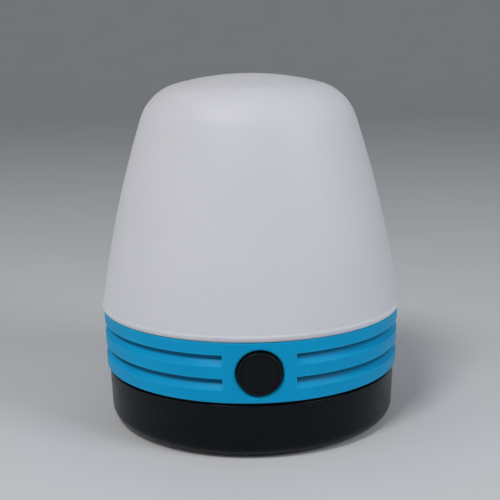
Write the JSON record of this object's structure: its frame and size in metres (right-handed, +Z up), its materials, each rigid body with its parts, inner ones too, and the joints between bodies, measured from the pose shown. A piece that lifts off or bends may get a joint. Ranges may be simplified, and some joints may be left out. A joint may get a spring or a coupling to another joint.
{
  "type": "camping lantern",
  "caption": "Small battery camping lantern: frosted domed shade on a grooved blue collar with a round power button, black base with a battery door and a fold-out hanging hook.",
  "frame": {"origin": "middle of the base in the plane of the feet", "axes": "+Z up through the shade's crown, -Y towards the power button, +X to the right as seen from the button's side"},
  "size_m": [0.095, 0.095, 0.1083],
  "materials": {
    "frosted_shade": "frosted, satin",
    "seal_rubber": "matte",
    "white_plastic": "satin",
    "board_white": "white solder mask",
    "led_phosphor": "phosphor under a clear lens",
    "plated_steel": "zinc plated",
    "collar_blue": "satin moulded",
    "base_black": "fine moulded grain",
    "foot_rubber": "matte",
    "tray_grey": "moulded",
    "cell_jacket": "painted jacket",
    "contact_nickel": "nickel plated",
    "hook_black": "satin",
    "button_black": "satin",
    "switch_black": "moulded",
    "board_green": "solder mask",
    "wire_red": "insulation",
    "wire_black": "insulation"
  },
  "bodies": {
    "housing": {"diffuser": "frosted_shade", "shade_seal": "seal_rubber", "reflector_deck": "white_plastic", "led_board": "board_white", "leds": "led_phosphor", "led_board_screws": "plated_steel", "deck_screws": "plated_steel", "collar": "collar_blue", "base_housing": "base_black", "foot_pads": "foot_rubber", "housing_screws": "plated_steel", "battery_tray": "tray_grey", "tray_screws": "plated_steel", "battery_cell_front": "cell_jacket", "battery_cell_middle": "cell_jacket", "battery_cell_rear": "cell_jacket", "contact_link_left": "contact_nickel", "contact_link_right": "contact_nickel", "contact_terminal_positive": "contact_nickel", "contact_terminal_negative": "contact_nickel", "contact_springs": "contact_nickel", "hook_pin": "plated_steel", "return_spring": "contact_nickel", "switch_body": "switch_black", "switch_board": "board_green", "driver_chips": "switch_black", "switch_board_screws": "plated_steel", "wire_battery_positive": "wire_red", "wire_battery_negative": "wire_black", "wire_led_positive": "wire_red", "wire_led_negative": "wire_black"},
    "power_button": {"button_cap": "button_black", "switch_plunger": "white_plastic"},
    "battery_door": {"battery_door": "base_black"},
    "hanging_hook": {"hanging_hook": "hook_black"}
  },
  "joints": [
    {"name": "power_button_press", "type": "slide", "parent": "housing", "child": "power_button", "axis": [0, 1, 0], "range_m": [0, 0.0012], "stiffness_N_per_m": 400, "springref_m": -0.0015, "deforming": ["return_spring"]},
    {"name": "battery_door_hinge", "type": "hinge", "parent": "housing", "child": "battery_door", "pos_m": [0, -0.02665, 0.0017], "axis": [-1, 0, 0], "range_deg": [0, 100]},
    {"name": "hanging_hook_hinge", "type": "hinge", "parent": "housing", "child": "hanging_hook", "pos_m": [0, 0.0248, 0.0022], "axis": [-1, 0, 0], "range_deg": [0, 95]}
  ]
}
